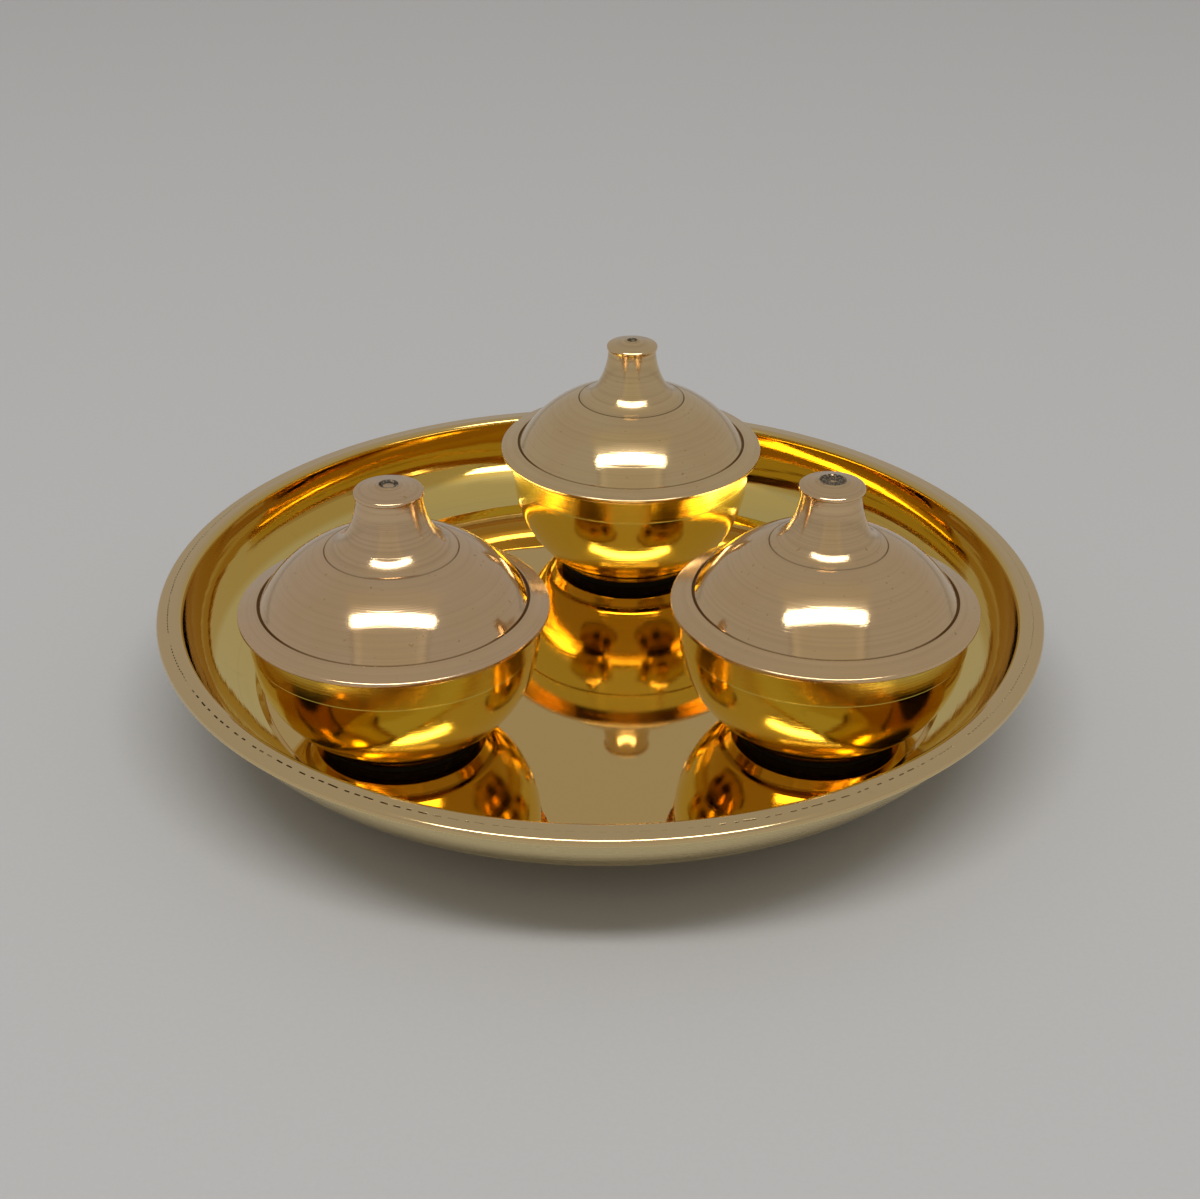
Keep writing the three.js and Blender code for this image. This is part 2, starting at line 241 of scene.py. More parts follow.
class Finish(Nodes):
    """One finish: a Principled shader, read at a point in millimetres from a piece's axis."""

    def __init__(self, name, centre=(0, 0), base=0.0, **shader):
        self.material = bpy.data.materials.new(name)
        self.material.use_nodes = True
        super().__init__(self.material.node_tree)
        self.shader = self.tree.nodes["Principled BSDF"]
        for socket, value in shader.items():
            self.shader.inputs[socket.replace("_", " ").title()].default_value = value
        texture = self.node("TexCoord")
        origin = tuple(-c / mm for c in (*centre, base))
        values = {"Vector": texture.out("Object"), "Location": origin, "Scale": (1 / mm,) * 3}
        self.point = self.node("Mapping", values=values).out()
        axes = self.node("SeparateXYZ", values=[self.point])
        self.x = axes.out(0)
        self.y = axes.out(1)
        self.height = axes.out(2)
        self.radius = (self.x * self.x + self.y * self.y) ** 0.5
        self.facing = self.node("SeparateXYZ", values=[texture.out("Normal")]).out(2)

    def feed(self, **sockets):
        for name, value in sockets.items():
            self.tree.links.new(value.socket, self.shader.inputs[name.replace("_", " ").title()])

    def bump(self, height, distance):
        """Raises the surface by height times a distance in millimetres."""
        values = {"Height": height, "Distance": distance * mm, "Strength": 1.0}
        self.feed(normal=self.node("Bump", values=values).out())

    def turning(self, along, scale, share=0.15):
        """Fine rings left by the tool and the polishing mop, nearly the same all round."""
        vector = self.vector(along * scale, self.x * share * 0.02, self.y * share * 0.02)
        return self.noise(vector, 1.0, 3.0, 0.6)


def slope_between(a, b):
    return math.degrees(math.atan2(b[1] - a[1], b[0] - a[0]))


def arc_from(start, slope, end, steps):
    """An arc that leaves one point at a slope, in degrees, and ends at another."""
    turn = 2 * (slope_between(start, end) - slope)
    radius = math.dist(start, end) / (2 * math.sin(math.radians(turn / 2)))
    lean = math.radians(slope)
    centre = (start[0] - radius * math.sin(lean), start[1] + radius * math.cos(lean))
    return arc(centre, radius, slope - 90, slope - 90 + turn, steps)


def beside(points, distance):
    """The line that runs beside an outline, a distance to its right."""
    lines = []
    for a, b in zip(points, points[1:]):
        along = (Vector(b) - Vector(a)).normalized()
        lines.append((Vector(a) + Vector((along.y, -along.x)) * distance, along))
    out = [tuple(lines[0][0])]
    for (p, d), (q, e) in zip(lines, lines[1:]):
        bend = d.cross(e)
        out.append(tuple(p + d * ((q - p).cross(e) / bend)) if abs(bend) > 1e-6 else tuple(q))
    across = Vector((lines[-1][1].y, -lines[-1][1].x))
    out.append(tuple(Vector(points[-1]) + across * distance))
    return out


def plate_outline():
    step_slope = 2 * slope_between(STEP, KNEE) - KNEE_SLOPE
    upper = [
        (0, 0),
        (FLOOR_RADIUS, 0, STEP_ROUND),
        (*STEP, STEP_ROUND),
        *arc_from(STEP, step_slope, KNEE, 14)[1:],
        *arc_from(KNEE, KNEE_SLOPE, WALL_TOP, 16)[1:],
        (*RIM_INNER, 1.6),
        (*RIM_OUTER, 1.0),
    ]
    under = beside([point[:2] for point in upper], SHEET)
    tilt = (RIM_OUTER[1] - RIM_INNER[1]) / (RIM_OUTER[0] - RIM_INNER[0])
    edge = under.pop()
    lip = (RIM_OUTER[0], edge[1] - (edge[0] - RIM_OUTER[0]) * tilt, 0.2)
    return rounded([*under, lip, *reversed(upper)])


def plate_finish(base):
    brass = Finish("plate_brass", base=base, metallic=1.0, roughness=0.03)
    r = brass.radius
    height = brass.height
    cloud = brass.noise(brass.point, 0.018, 3.0)
    grime = brass.noise(brass.point, 0.16, 4.0, 0.6)
    rings = brass.turning(r + height, 1.6)
    bands = brass.turning(r + height * 1.3, 0.35)
    outside = brass.step(brass.facing, -0.04, 0.04, 1.0, 0.0)
    on_rim = brass.step(r, WALL_TOP[0], WALL_TOP[0] + 1.4) * (1 - outside)
    on_wall = brass.step(r, FLOOR_RADIUS - 0.1, FLOOR_RADIUS + 0.7) * (1 - on_rim) * (1 - outside)
    on_steep = brass.step(r, KNEE[0] - 0.4, KNEE[0] + 1.2) * on_wall
    round_rim = brass.maths("ARCTAN2", brass.x, 0 - brass.y) / (2 * math.pi)
    degrees = round_rim * 360
    wobble = brass.noise(brass.vector(degrees, 0.0, 0.0), 0.35, 2.0)
    close = round_rim * FINE_MARKS + wobble * 2.0
    fine = brass.maths("FRACT", close) < 0.2 + wobble * 0.7
    uneven = round_rim * BOLD_MARKS + wobble * 2.2
    bold = brass.maths("FRACT", uneven) < 0.25 + wobble * 0.5
    fine = fine * (
        brass.step(degrees, -130, -85, 0.2, 1.0) * brass.step(degrees, -66, -60, 1.0, 0.0)
        + brass.step(degrees, 40, 46) * brass.step(degrees, 80, 100, 0.5, 0.15)
    )
    bold = bold * (
        brass.step(degrees, -64, -58) * brass.step(degrees, -22, -6, 1.0, 0.12)
        + brass.step(degrees, 8, 16) * brass.step(degrees, 38, 46, 0.65, 0.0)
    )
    kept = brass.step(brass.noise(brass.vector(degrees, 5.0, 0.0), 0.16, 2.0), 0.36, 0.46)
    off_line = abs(r - MARK_RADIUS + (wobble - 0.5) * 0.5)
    on_line = brass.step(off_line - bold * 0.06, MARK_WIDTH / 2, MARK_WIDTH / 2 + 0.11, 1.0, 0.0)
    marks = on_line * brass.maths("MAXIMUM", fine, bold) * kept * (height > WALL_TOP[1] - 0.3)
    # Painted light and shade: each zone of the one sheet gets its own lit or shaded copy of the brass
    # colour.
    body = brass.colour(FLOOR_BRASS, WALL_LIT_BRASS, on_wall)
    body = brass.colour(body, STEEP_SHADED_BRASS, on_steep)
    body = brass.colour(body, RIM_LIT_BRASS, on_rim)
    body = brass.colour(body, OUTER_LIT_BRASS, outside)
    body = brass.colour(body, TARNISH, brass.step(grime, 0.62, 0.8) * 0.16)
    body = brass.colour(body, TARNISH, on_wall * brass.step(bands, 0.55, 0.75) * 0.2)
    body = brass.colour(body, MARK_DARK, marks)
    dull = brass.step(cloud, 0.35, 0.7, 0.012, 0.05) + on_rim * 0.1 + on_wall * 0.03
    dull = dull + brass.step(grime, 0.55, 0.8) * 0.06 + marks * 0.4
    dull = dull + outside * brass.step(bands, 0.3, 0.7, 0.16, 0.3)
    brass.feed(base_color=body, roughness=dull)
    sheet_waves = brass.noise(brass.point, 0.03, 1.0) * 0.012
    dents = brass.noise(brass.point, 0.075, 2.0) * on_wall * 0.05
    tooling = 0.0008 + on_rim * 0.004 + on_wall * 0.005 + outside * 0.008
    brass.bump(rings * tooling + bands * on_wall * 0.02 + sheet_waves + dents - marks * 0.06, 1.0)
    return brass.material


floor_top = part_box("plate")[0].z + SHEET * mm
plate = turned("plate_shown", plate_outline(), (0, 0), floor_top, 240)
plate.data.materials.append(plate_finish(floor_top))
stands_for(plate, "plate", "dish")

# The standing ring: a plain turned brass ring, soldered under the floor, that lifts the plate so
# that the nuts clear the table.

RING_RADIUS = 68
RING_WALL = 2.4
RING_BRASS = (0.66, 0.47, 0.2)


def ring_finish():
    brass = Finish("foot_ring_brass", metallic=1.0, roughness=0.2)
    rings = brass.turning(brass.radius + brass.height, 2.2)
    grime = brass.noise(brass.point, 0.2, 4.0, 0.6)
    body = brass.colour(RING_BRASS, TARNISH, brass.step(grime, 0.45, 0.75) * 0.5)
    brass.feed(base_color=body, roughness=brass.step(grime, 0.3, 0.8, 0.14, 0.34))
    brass.bump(rings, 0.01)
    return brass.material


ring_low, ring_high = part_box("foot_ring")
ring_height = (ring_high.z - ring_low.z) / mm
foot_ring = turned("foot_ring_shown", rounded([
    (RING_RADIUS - RING_WALL, 0, 0.4),
    (RING_RADIUS, 0, 0.4),
    (RING_RADIUS, ring_height),
    (RING_RADIUS - RING_WALL, ring_height),
]), (0, 0), ring_low.z, 160)
foot_ring.data.materials.append(ring_finish())
stands_for(foot_ring, "foot_ring", "dish")

# The cups: three small turned brass bowls on flared foot rings, polished outside, with one line
# cut round the band below the mouth. A hole in the floor of each takes its screw.

CUP_FOOT_RADIUS = 19
CUP_FOOT_TOP = 20.5
CUP_FOOT_HEIGHT = 2.2
CUP_BOWL = (21.4, 2.5)
CUP_BAND = {"rear": 29.8, "left": 31.4, "right": 31.5}
CUP_BOWL_HEIGHT = 22
CUP_HEIGHT = 28.8
CUP_WALL = 1.8
CUP_FLOOR = 2.8
CUP_FLOOR_INSET = 2.9
CUP_LINE = 22.2
BORE = 2.75
CUP_BRASS = (0.86, 0.65, 0.12)
SEAM_DARK = (0.2, 0.1, 0.02)
SET_NAMES = ("rear", "left", "right")


def axis_of(node):
    low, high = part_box(node)
    return ((low.x + high.x) / 2, (low.y + high.y) / 2), low.z


def bowl_arc(foot, top, steps):
    """An arc from a bowl's foot that ends upright at its top."""
    spread = top[0] - foot[0]
    rise = top[1] - foot[1]
    radius = (spread ** 2 + rise ** 2) / (2 * spread)
    return arc((top[0] - radius, top[1]), radius, -math.degrees(math.asin(rise / radius)), 0, steps)


def cup_outline(band):
    edge = rounded([
        (band - 0.25, CUP_BOWL_HEIGHT),
        (band - 0.35, CUP_LINE - 0.05),
        (band, CUP_LINE + 0.16, 0.08),
        (band, CUP_HEIGHT, 0.25),
        (band - CUP_WALL, CUP_HEIGHT, 0.25),
        (band - CUP_WALL, CUP_BOWL_HEIGHT),
    ])
    foot = rounded([
        (BORE, 0),
        (CUP_FOOT_RADIUS, 0, 0.4),
        (CUP_FOOT_TOP, CUP_FOOT_HEIGHT, 0.12),
        CUP_BOWL,
    ])
    inner_foot = (CUP_FOOT_TOP - CUP_FLOOR_INSET, CUP_FLOOR)
    return [
        *foot[:-1],
        *bowl_arc(CUP_BOWL, (band - 0.25, CUP_BOWL_HEIGHT), 26)[:-1],
        *edge[:-1],
        *reversed(bowl_arc(inner_foot, (band - CUP_WALL, CUP_BOWL_HEIGHT), 16)),
        (BORE, CUP_FLOOR),
    ]


def cup_finish(name, centre, base):
    brass = Finish("cup_brass_" + name, centre, base, metallic=1.0, roughness=0.05)
    rings = brass.turning(brass.height + brass.radius, 1.9)
    cloud = brass.noise(brass.point, 0.06, 3.0)
    grime = brass.noise(brass.point, 0.35, 4.0, 0.6)
    seam = brass.line(brass.height, CUP_FOOT_HEIGHT - 0.05, 0.2, 0.5)
    cut = brass.line(brass.height, CUP_LINE, 0.16, 0.12)
    body = brass.colour(CUP_BRASS, TARNISH, brass.step(grime, 0.6, 0.8) * 0.25)
    # Darker along the crease above the foot and along the cut line.
    body = brass.colour(body, SEAM_DARK, seam * 0.55 + cut * 0.5)
    on_band = brass.step(brass.height, CUP_LINE, CUP_LINE + 0.3)
    dull = brass.step(cloud, 0.35, 0.7, 0.08, 0.13) + brass.step(grime, 0.55, 0.8) * 0.06
    brass.feed(base_color=body, roughness=dull + on_band * 0.06)
    brass.bump(rings * 0.024 + cloud * 0.03, 1.0)
    return brass.material


for set_name in SET_NAMES:
    centre, base = axis_of("cup_" + set_name)
    cup = turned("cup_shown_" + set_name, cup_outline(CUP_BAND[set_name]), centre, base, 128)
    cup.data.materials.append(cup_finish(set_name, centre, base))
    stands_for(cup, "cup_" + set_name, "dish")

# The lids: hand-turned castings of paler bronze-like brass, each a little different. A flange
# rests on the cup, a groove runs round the dome's foot, and a line marks where the drawn-in neck
# starts. The flat knob keeps the lathe centre's mark, filled with old polish.

FLANGE_EDGE = 1
LID_WALL = 2.2
GROOVE_WIDTH = 0.6
GROOVE_DEPTH = 0.4
SPIGOT_GAP = 0.4
SPIGOT_WALL = 1.8
SPIGOT_DEPTH = 3
SHOULDER_SLOPE = 18
FLARE_SLOPE = 62
STEM_SLOPE = 88
KNOB_LIP = 1
LID_BRASS = {"rear": (0.74, 0.545, 0.29), "left": (0.73, 0.515, 0.31), "right": (0.73, 0.515, 0.29)}
REDDISH = (0.68, 0.45, 0.22)
TURNING_PAINTED_SHADE = (0.42, 0.29, 0.15)
TURNING_PAINTED_SHEEN = (0.86, 0.68, 0.42)
GROOVE_DARK = (0.22, 0.13, 0.05)
NECK_LINE_DARK = (0.18, 0.11, 0.05)
NECK_LINE_DARK_SHARE = {"rear": 0.8, "left": 0.5, "right": 0.5}
POLISH = (0.022, 0.018, 0.012)
BARE_CENTRE = {"rear": 0.05, "left": 1.0, "right": 0.35}
CLOUD_PLACE = {"rear": 3.0, "left": 17.0, "right": 41.0}
LID_SIZES = {
    "rear": {
        "flange": 32.7,
        "shoulder": (28.6, 2.1), "neck": (13.1, 13.9), "stem": 5.85,
        "knob": (6.25, 27.8), "crown": 1.4, "pit": (0.9, 1.2),
    },
    "left": {
        "flange": 33.5,
        "shoulder": (29.3, 2.7), "neck": (14.3, 14.6), "stem": 6.95,
        "knob": (7.4, 28.2), "crown": 1.7, "pit": (1.7, 0.5),
    },
    "right": {
        "flange": 33.4,
        "shoulder": (28.9, 2.9), "neck": (12.65, 15.15), "stem": 6.3,
        "knob": (7.05, 28.6), "crown": 1.9, "pit": (2.5, 0.35),
    },
}


def dome_arc(foot, neck):
    """A dome's centre, radius and slope at its foot, where it has the shoulder's slope at the neck."""
    chord = math.degrees(math.atan2(neck[1] - foot[1], foot[0] - neck[0]))
    radius = math.dist(foot, neck) / (2 * math.sin(math.radians(chord - SHOULDER_SLOPE)))
    slope = math.radians(SHOULDER_SLOPE)
    centre = (neck[0] - radius * math.sin(slope), neck[1] - radius * math.cos(slope))
    return centre, radius, 2 * chord - SHOULDER_SLOPE


def neck_arcs(foot, stem):
    """Two arcs that draw a neck in to its stem, the lower one tight and the upper one slow."""
    slopes = [math.radians(slope) for slope in (SHOULDER_SLOPE, FLARE_SLOPE, STEM_SLOPE)]
    sin = [math.sin(slope) for slope in slopes]
    cos = [math.cos(slope) for slope in slopes]
    spread = foot[0] - stem[0]
    rise = stem[1] - foot[1]
    lower_in, lower_up = sin[1] - sin[0], cos[0] - cos[1]
    upper_in, upper_up = sin[2] - sin[1], cos[1] - cos[2]
    upper = (rise * lower_in - spread * lower_up) / (upper_up * lower_in - upper_in * lower_up)
    lower = (spread - upper * upper_in) / lower_in
    waist = (foot[0] - lower * lower_in, foot[1] + lower * lower_up)
    lower_centre = (foot[0] + lower * sin[0], foot[1] + lower * cos[0])
    upper_centre = (waist[0] + upper * sin[1], waist[1] + upper * cos[1])
    return [
        *arc(lower_centre, lower, 270 - SHOULDER_SLOPE - 1, 270 - FLARE_SLOPE, 14),
        *arc(upper_centre, upper, 270 - FLARE_SLOPE, 270 - STEM_SLOPE, 14)[1:],
    ]


def lid_outline(spigot, flange, shoulder, neck, stem, knob, crown, pit):
    slope = math.radians(SHOULDER_SLOPE)
    centre, dome, foot_slope = dome_arc((shoulder[0] - GROOVE_WIDTH, shoulder[1]), neck)
    flare = neck_arcs(neck, (stem, knob[1] - KNOB_LIP))
    hollow = spigot - SPIGOT_WALL
    inner_neck = (neck[0] - LID_WALL * math.sin(slope), neck[1] - LID_WALL * math.cos(slope))
    inner_centre, inner, inner_slope = dome_arc((hollow, 0), inner_neck)
    neck_line = [
        (neck[0] + 0.14, neck[1] - 0.04),
        (neck[0], neck[1] - 0.16),
        (neck[0] - 0.14, neck[1] + 0.05),
    ]
    skirt = rounded([
        (hollow, 0),
        (hollow, -SPIGOT_DEPTH, 0.3),
        (spigot, -SPIGOT_DEPTH, 0.4),
        (spigot, 0),
        (flange, 0, 0.2),
        (flange, FLANGE_EDGE, 0.45),
        (*shoulder, 0.12),
        (shoulder[0] - GROOVE_WIDTH / 2, shoulder[1] - GROOVE_DEPTH),
    ])
    brim = knob[1] + crown * (1 - pit[0] / knob[0])
    top = rounded([
        flare[-2],
        (*flare[-1], 0.12),
        (knob[0], knob[1] - KNOB_LIP + 0.1, 0.3),
        (*knob, 0.42),
        (pit[0] + 0.75, brim - 0.12, 0.3),
        (pit[0] + 0.35, brim + 0.12, 0.15),
        (pit[0], brim - pit[1] * 0.6),
        (0.4, brim - pit[1]),
        (0, brim - pit[1] * 0.8),
    ])
    return [
        (0, inner_centre[1] + inner),
        *arc(inner_centre, inner, 90, 90 - inner_slope, 14),
        *skirt[1:],
        *arc(centre, dome, 90 - foot_slope, 90 - SHOULDER_SLOPE - 0.3, 22),
        *neck_line,
        *flare[:-2],
        *top,
    ]


def lid_finish(name, centre, base, shoulder, neck, knob, pit):
    brass = Finish("lid_brass_" + name, centre, base, metallic=1.0, roughness=0.12)
    r = brass.radius
    height = brass.height
    seed = CLOUD_PLACE[name]
    place = brass.vector(brass.x + seed, brass.y - seed, height)
    rings = brass.turning(height * 1.4 - r, 3.0)
    coarse = brass.turning(height - r * 0.6 + seed, 0.9)
    cloud = brass.noise(place, 0.07, 3.0)
    specks = brass.noise(place, 1.1, 2.0, 0.4)
    on_neck = brass.step(height, neck[1] - 0.1, neck[1] + 0.4)
    on_flange = brass.step(r, shoulder[0] - 0.3, shoulder[0] + 0.1)
    groove = brass.line(r, shoulder[0] - GROOVE_WIDTH / 2, GROOVE_WIDTH / 2, 0.2)
    groove = groove * brass.line(height, shoulder[1], 1.2, 0.4)
    neck_line = brass.line(r, neck[0], 0.16, 0.16) * brass.line(height, neck[1], 1.0, 0.5)
    crust = brass.noise(place, 2.6, 4.0, 0.7)
    bare = BARE_CENTRE[name]
    filled = brass.step(r, pit[0] + 0.3, pit[0] + 0.5, 1.0, 0.0)
    filled = filled * brass.step(crust, 0.36, 0.5, 0.35, 1.0)
    filled = filled * brass.step(r, bare, bare + 0.25, 0.25, 1.0)
    smear = brass.step(r, pit[0] + 0.4, pit[0] + 1.2, 1.0, 0.0) * brass.step(crust, 0.48, 0.58)
    body = brass.colour(LID_BRASS[name], REDDISH, brass.step(cloud, 0.35, 0.7) * 0.35)
    # Painted shade and painted sheen: darker and lighter lines along the turning rings, more on the
    # neck, stand in for how the rings catch the light.
    lines = brass.step(coarse, 0.42, 0.68) * (0.16 + on_neck * 0.2)
    body = brass.colour(body, TURNING_PAINTED_SHADE, lines)
    body = brass.colour(body, TURNING_PAINTED_SHEEN, brass.step(rings, 0.5, 0.75) * (0.16 + on_neck * 0.14))
    body = brass.colour(body, TARNISH, brass.step(specks, 0.72, 0.76) * 0.7)
    # Darker in the groove round the dome's foot and along the neck line, more on some lids than others.
    body = brass.colour(body, GROOVE_DARK, groove * 0.8)
    body = brass.colour(body, NECK_LINE_DARK, neck_line * NECK_LINE_DARK_SHARE[name])
    stain = brass.maths("MAXIMUM", filled, smear * 0.8) * (height > knob[1] - 0.2)
    body = brass.colour(body, POLISH, stain)
    dull = brass.step(cloud, 0.3, 0.75, 0.06, 0.1) + on_neck * 0.04 + on_flange * 0.09
    dull = dull + brass.step(specks, 0.7, 0.8) * 0.2 + stain * 0.5
    brass.feed(base_color=body, roughness=dull, metallic=1 - stain * 0.8)
    brushed = 0.01 + on_neck * 0.016 + on_flange * 0.008
    brass.bump(rings * brushed + coarse * 0.012 + cloud * 0.03 - groove * 0.05, 1.0)
    return brass.material


for set_name in SET_NAMES:
    centre, low = axis_of("lid_" + set_name)
    base = low + SPIGOT_DEPTH * mm
    spigot = CUP_BAND[set_name] - CUP_WALL - SPIGOT_GAP
    sizes = LID_SIZES[set_name]
    lid = turned("lid_shown_" + set_name, lid_outline(spigot, **sizes), centre, base, 128)
    looks = {name: sizes[name] for name in ("shoulder", "neck", "knob", "pit")}
    lid.data.materials.append(lid_finish(set_name, centre, base, **looks))
    stands_for(lid, "lid_" + set_name, set_name + "_lid")

# The rubber washers: flat black rings, cut from sheet, squeezed between each cup's foot and the
# floor so that neither marks the other.

SEAL_RADIUS = 17.4
RUBBER_BLACK = (0.006, 0.005, 0.004)
RUBBER_DUST = (0.02, 0.015, 0.01)


def rubber_finish(name, centre, base):
    rubber = Finish("rubber_" + name, centre, base, metallic=0.0, roughness=0.5)
    rubber.shader.inputs["Specular IOR Level"].default_value = 0.15
    grain = rubber.noise(rubber.point, 3.0, 3.0, 0.6)
    dust = rubber.noise(rubber.point, 0.7, 3.0, 0.5)
    body = rubber.colour(RUBBER_BLACK, RUBBER_DUST, rubber.step(dust, 0.5, 0.75))
    rubber.feed(base_color=body, roughness=rubber.step(grain, 0.3, 0.7, 0.6, 0.8))
    rubber.bump(grain, 0.03)
    return rubber.material


for set_name in SET_NAMES:
    node = "rubber_washer_" + set_name
    centre, base = axis_of(node)
    low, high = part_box(node)
    thick = (high.z - low.z) / mm
    seal = turned("rubber_washer_shown_" + set_name, rounded([
        (BORE, 0),
        (SEAL_RADIUS, 0, 0.2),
        (SEAL_RADIUS, thick, 0.2),
        (BORE, thick),
    ]), centre, base, 96)
    seal.data.materials.append(rubber_finish(set_name, centre, base))
    stands_for(seal, node, "dish")

# The fasteners: one plated steel screw, washer and nut for each cup. The screw goes down through
# the cup's floor, and its slotted head is inside the cup. The nut is under the plate.

SCREW_RADIUS = 2.4
SCREW_THREAD = 0.8
THREADED = 6
HEAD_RADIUS = 4.75
HEAD_HEIGHT = 3
SLOT_WIDTH = 1.2
SLOT_DEPTH = 1.4
WASHER_RADIUS = 5
WASHER_HEIGHT = 1
NUT_FLATS = 8
NUT_HEIGHT = 4
NUT_FACE = 3.8
STEEL = (0.6, 0.6, 0.58)
STEEL_GRIME = (0.34, 0.3, 0.24)


def steel_finish(name, centre, base):
    steel = Finish(name, centre, base, metallic=1.0, roughness=0.25)
    grime = steel.noise(steel.point, 0.8, 4.0, 0.6)
    rings = steel.turning(steel.radius + steel.height, 4.0)
    body = steel.colour(STEEL, STEEL_GRIME, steel.step(grime, 0.45, 0.75))
    steel.feed(base_color=body, roughness=steel.step(grime, 0.3, 0.8, 0.18, 0.42))
    steel.bump(rings + grime, 0.012)
    return steel.material


def screw_outline(length):
    """From the tip, up the thread and the head, with its seat at height 0."""
    depth = SCREW_THREAD * 0.5
    outline = [(0, -length), (SCREW_RADIUS - 0.6, -length)]
    height = -length + 0.4
    while height < THREADED - length:
        outline.append((SCREW_RADIUS - depth, height))
        outline.append((SCREW_RADIUS, height + SCREW_THREAD / 2))
        height += SCREW_THREAD
    return outline + rounded([
        (SCREW_RADIUS - 0.15, height),
        (SCREW_RADIUS - 0.15, 0),
        (HEAD_RADIUS, 0, 0.2),
        (HEAD_RADIUS, 1.4, 0.9),
        (HEAD_RADIUS * 0.55, HEAD_HEIGHT - 0.1, 2.5),
        (0, HEAD_HEIGHT),
    ])


def cut_slot(piece, centre, top):
    """Cuts the driver's slot across the head: the strip's upper faces go, and a trough is filled in."""
    half = SLOT_WIDTH / 2 * mm
    floor = top - SLOT_DEPTH * mm
    bm = bmesh.new()
    bm.from_mesh(piece.data)
    for side in (-half, half):
        parts = bm.verts[:] + bm.edges[:] + bm.faces[:]
        bmesh.ops.bisect_plane(
            bm, geom=parts, dist=1e-7, plane_co=(centre[0], centre[1] + side, 0), plane_no=(0, 1, 0)
        )
    parts = bm.verts[:] + bm.edges[:] + bm.faces[:]
    bmesh.ops.bisect_plane(bm, geom=parts, dist=1e-7, plane_co=(0, 0, floor), plane_no=(0, 0, 1))
    strip = []
    for face in bm.faces:
        middle = face.calc_center_median()
        if middle.z > floor and abs(middle.y - centre[1]) < half:
            strip.append(face)
    bmesh.ops.delete(bm, geom=strip, context="FACES")
    rim = [edge for edge in bm.edges if edge.is_boundary]
    ends = {vert for edge in rim for vert in edge.verts if abs(vert.co.z - floor) < 1e-6}
    walls = []
    for side in (-half, half):
        at_side = [vert for vert in ends if abs(vert.co.y - centre[1] - side) < 1e-6]
        left = min(at_side, key=lambda vert: vert.co.x)
        right = max(at_side, key=lambda vert: vert.co.x)
        across = bm.edges.new((left, right))
        walls.append(across)
        wall = [edge for edge in rim if all(abs(v.co.y - centre[1] - side) < 1e-6 for v in edge.verts)]
        bmesh.ops.contextual_create(bm, geom=wall + [across])
    low = [edge for edge in rim if all(abs(v.co.z - floor) < 1e-6 for v in edge.verts)]
    bmesh.ops.contextual_create(bm, geom=low + walls)
    bmesh.ops.recalc_face_normals(bm, faces=bm.faces)
    bm.to_mesh(piece.data)
    bm.free()
    smooth(piece.data)


def nut_shape(piece, centre):
    """Draws a turned blank's outside in to six flats, with its faces chamfered as a cone cuts them."""
    bm = bmesh.new()
    bm.from_mesh(piece.data)
    low = min(vert.co.z for vert in bm.verts)
    for vert in bm.verts:
        out = Vector((vert.co.x - centre[0], vert.co.y - centre[1]))
        if out.length < (NUT_FACE + 0.05) * mm:
            continue
        turn = math.atan2(out.y, out.x) % (math.pi / 3) - math.pi / 6
        reach = NUT_FLATS / 2 * mm / math.cos(turn)
        drop = (reach - NUT_FACE * mm) * math.tan(math.radians(30))
        out *= reach / out.length
        upper = vert.co.z > low + NUT_HEIGHT / 2 * mm
        height = low + NUT_HEIGHT * mm - drop if upper else low + drop
        vert.co = (centre[0] + out.x, centre[1] + out.y, height)
    bm.to_mesh(piece.data)
    bm.free()
    smooth(piece.data)


for set_name in SET_NAMES:
    node = "screw_" + set_name
    centre, base = axis_of(node)
    head_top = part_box(node)[1].z
    seat = head_top - HEAD_HEIGHT * mm
    screw = turned("screw_shown_" + set_name, screw_outline((seat - base) / mm), centre, seat, 60)
    cut_slot(screw, centre, head_top)
    screw.data.materials.append(steel_finish(node + "_steel", centre, base))
    stands_for(screw, node, "dish")

for set_name in SET_NAMES:
    node = "washer_" + set_name
    centre, base = axis_of(node)
    washer = turned("washer_shown_" + set_name, rounded([
        (BORE, 0, 0.1),
        (WASHER_RADIUS, 0, 0.15),
        (WASHER_RADIUS, WASHER_HEIGHT, 0.3),
        (BORE, WASHER_HEIGHT, 0.1),
    ]), centre, base, 72)
    washer.data.materials.append(steel_finish(node + "_steel", centre, base))
    stands_for(washer, node, "dish")

for set_name in SET_NAMES:
    node = "nut_" + set_name
    centre, base = axis_of(node)
    nut = turned("nut_shown_" + set_name, [
        (BORE, 0.3),
        (BORE + 0.3, 0),
        (NUT_FACE, 0),
        (NUT_FLATS / 2, 0.4),
        (NUT_FLATS / 2, NUT_HEIGHT - 0.4),
        (NUT_FACE, NUT_HEIGHT),
        (BORE + 0.3, NUT_HEIGHT),
        (BORE, NUT_HEIGHT - 0.3),
    ], centre, base, 72)
    nut_shape(nut, centre)
    nut.data.materials.append(steel_finish(node + "_steel", centre, base))
    stands_for(nut, node, "dish")

# The studio: a pale grey table top that runs on as a backdrop, and one broad soft panel nearly
# overhead, a little towards the camera. The room is an even grey, with a glow that fades from the
# panel to straight overhead, and a slightly warmer strip from the front to there.

TABLE_GREY = (0.5, 0.499, 0.498)
ROOM_GREY = (0.415, 0.405, 0.4)
FRONT_STRIP = (0.45, 0.425, 0.375)
STRIP_HALF = 0.447
STRIP_EDGE = (0.55, 0.52, 0.46)
STRIP_SEAM = (0.2, 0.17, 0.15)
CEILING_GLOW = (1.05, 1.02, 0.94)
PANEL_ELEVATION = 70
PANEL_DISTANCE = 2.0
PANEL_WIDTH = 2.0
PANEL_DEPTH = 0.34
PANEL_POWER = 22.0
TABLE_REACH = 6


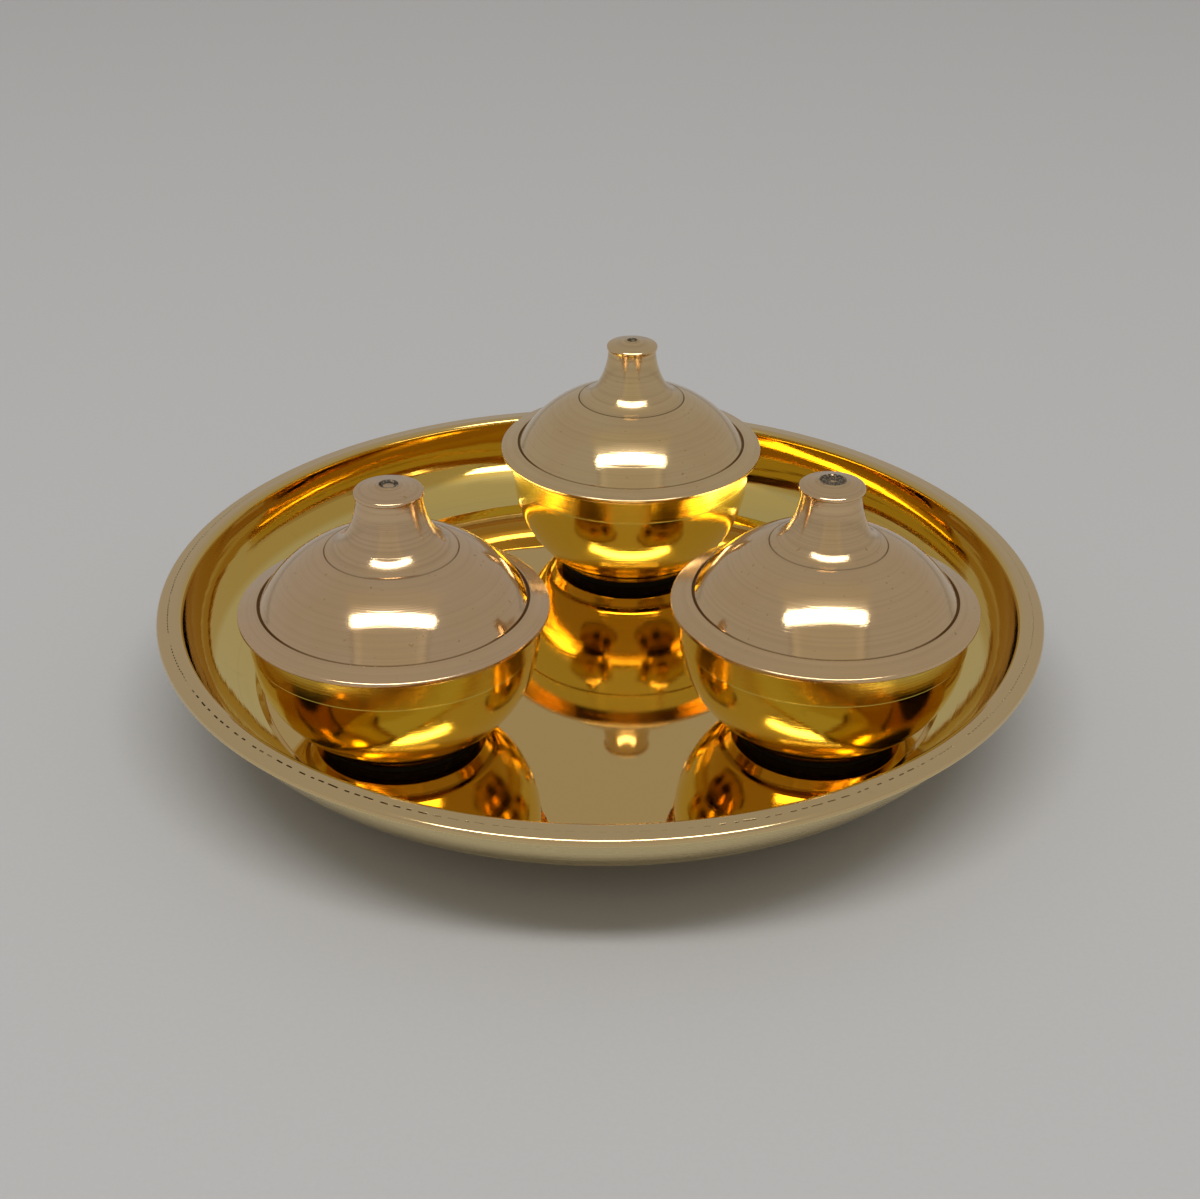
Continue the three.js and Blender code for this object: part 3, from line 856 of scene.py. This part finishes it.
def table_top():
    bm = bmesh.new()
    bmesh.ops.create_grid(bm, x_segments=1, y_segments=1, size=TABLE_REACH)
    mesh = bpy.data.meshes.new("table_top")
    bm.to_mesh(mesh)
    bm.free()
    top = bpy.data.objects.new("table_top", mesh)
    bpy.context.scene.collection.objects.link(top)
    paper = Finish("table_paper", roughness=0.9, metallic=0.0)
    fibre = paper.noise(paper.point, 0.9, 3.0)
    body = paper.colour(TABLE_GREY, tuple(c * 0.94 for c in TABLE_GREY), fibre)
    paper.feed(base_color=body)
    mesh.materials.append(paper.material)


def soft_panel():
    light = bpy.data.lights.new("soft_panel", "AREA")
    light.shape = "RECTANGLE"
    light.size = PANEL_WIDTH
    light.size_y = PANEL_DEPTH
    light.energy = PANEL_POWER
    panel = bpy.data.objects.new("soft_panel", light)
    rise = math.radians(PANEL_ELEVATION)
    towards = Vector((0, -math.cos(rise), math.sin(rise)))
    panel.location = towards * PANEL_DISTANCE
    panel.rotation_mode = "QUATERNION"
    panel.rotation_quaternion = towards.to_track_quat("Z", "Y")
    bpy.context.scene.collection.objects.link(panel)


def room():
    """The room's light by direction: over goes from 0 degrees at the front to 180 at the back."""
    world = bpy.data.worlds.new("room")
    world.use_nodes = True
    walls = Nodes(world.node_tree)
    towards = walls.node("SeparateXYZ", values=[walls.node("TexCoord").out("Generated")])
    across, back, up = (towards.out(i) for i in range(3))
    over = walls.maths("ARCTAN2", up, 0 - back) * (180 / math.pi)
    glow = walls.step(over, 72.0, 89.0, 1.0, 0.0) * walls.step(over, 69.0, 70.0)
    glow = glow * walls.step(abs(across), STRIP_HALF - 0.06, STRIP_HALF + 0.06, 1.0, 0.0)
    strip = walls.step(abs(across), STRIP_HALF, STRIP_HALF + 0.02, 1.0, 0.0)
    strip = strip * walls.step(over, 95.0, 110.0, 1.0, 0.0)
    seam = walls.line(abs(across), STRIP_HALF + 0.01, 0.01, 0.01)
    seam = seam * walls.step(over, 70.0, 80.0, 1.0, 0.0)
    edge = walls.line(abs(across), STRIP_HALF - 0.05, 0.05, 0.04)
    edge = edge * walls.step(over, 80.0, 95.0, 1.0, 0.0)
    shade = walls.colour(ROOM_GREY, FRONT_STRIP, strip)
    shade = walls.colour(shade, STRIP_EDGE, edge * 0.6)
    shade = walls.colour(shade, STRIP_SEAM, seam * 0.6)
    shade = walls.colour(shade, CEILING_GLOW, glow)
    background = world.node_tree.nodes["Background"]
    world.node_tree.links.new(shade.socket, background.inputs["Color"])
    background.inputs["Strength"].default_value = 1.0
    bpy.context.scene.world = world


table_top()
soft_panel()
room()

# The camera: the photograph's own place, 29 degrees above the table and straight from the front,
# with a very slight lean.

FOCAL_PIXELS = 1955
PICTURE_WIDTH = 1200
PITCH = math.radians(29.015)
LEAN = math.radians(0.365)
LOOKS_AT = Vector((-0.1, 28.1, 0)) * mm
AWAY = 489.3 * mm

ahead = Vector((0, math.cos(PITCH), -math.sin(PITCH)))
level = Vector((1, 0, 0))
upward = Vector((0, math.sin(PITCH), math.cos(PITCH)))
right = level * math.cos(LEAN) + upward * math.sin(LEAN)
top = upward * math.cos(LEAN) - level * math.sin(LEAN)
lens = bpy.data.cameras.new("photo_camera")
lens.sensor_width = 36
lens.lens = FOCAL_PIXELS / PICTURE_WIDTH * lens.sensor_width
lens.clip_start = 0.01
lens.clip_end = 20
camera = bpy.data.objects.new("photo_camera", lens)
place = LOOKS_AT + Vector((0, 0, floor_top)) - ahead * AWAY
turn = Matrix((right, top, -ahead)).transposed()
camera.matrix_world = Matrix.Translation(place) @ turn.to_4x4()
bpy.context.scene.collection.objects.link(camera)
bpy.context.scene.camera = camera
bpy.context.scene.view_settings.view_transform = "Standard"
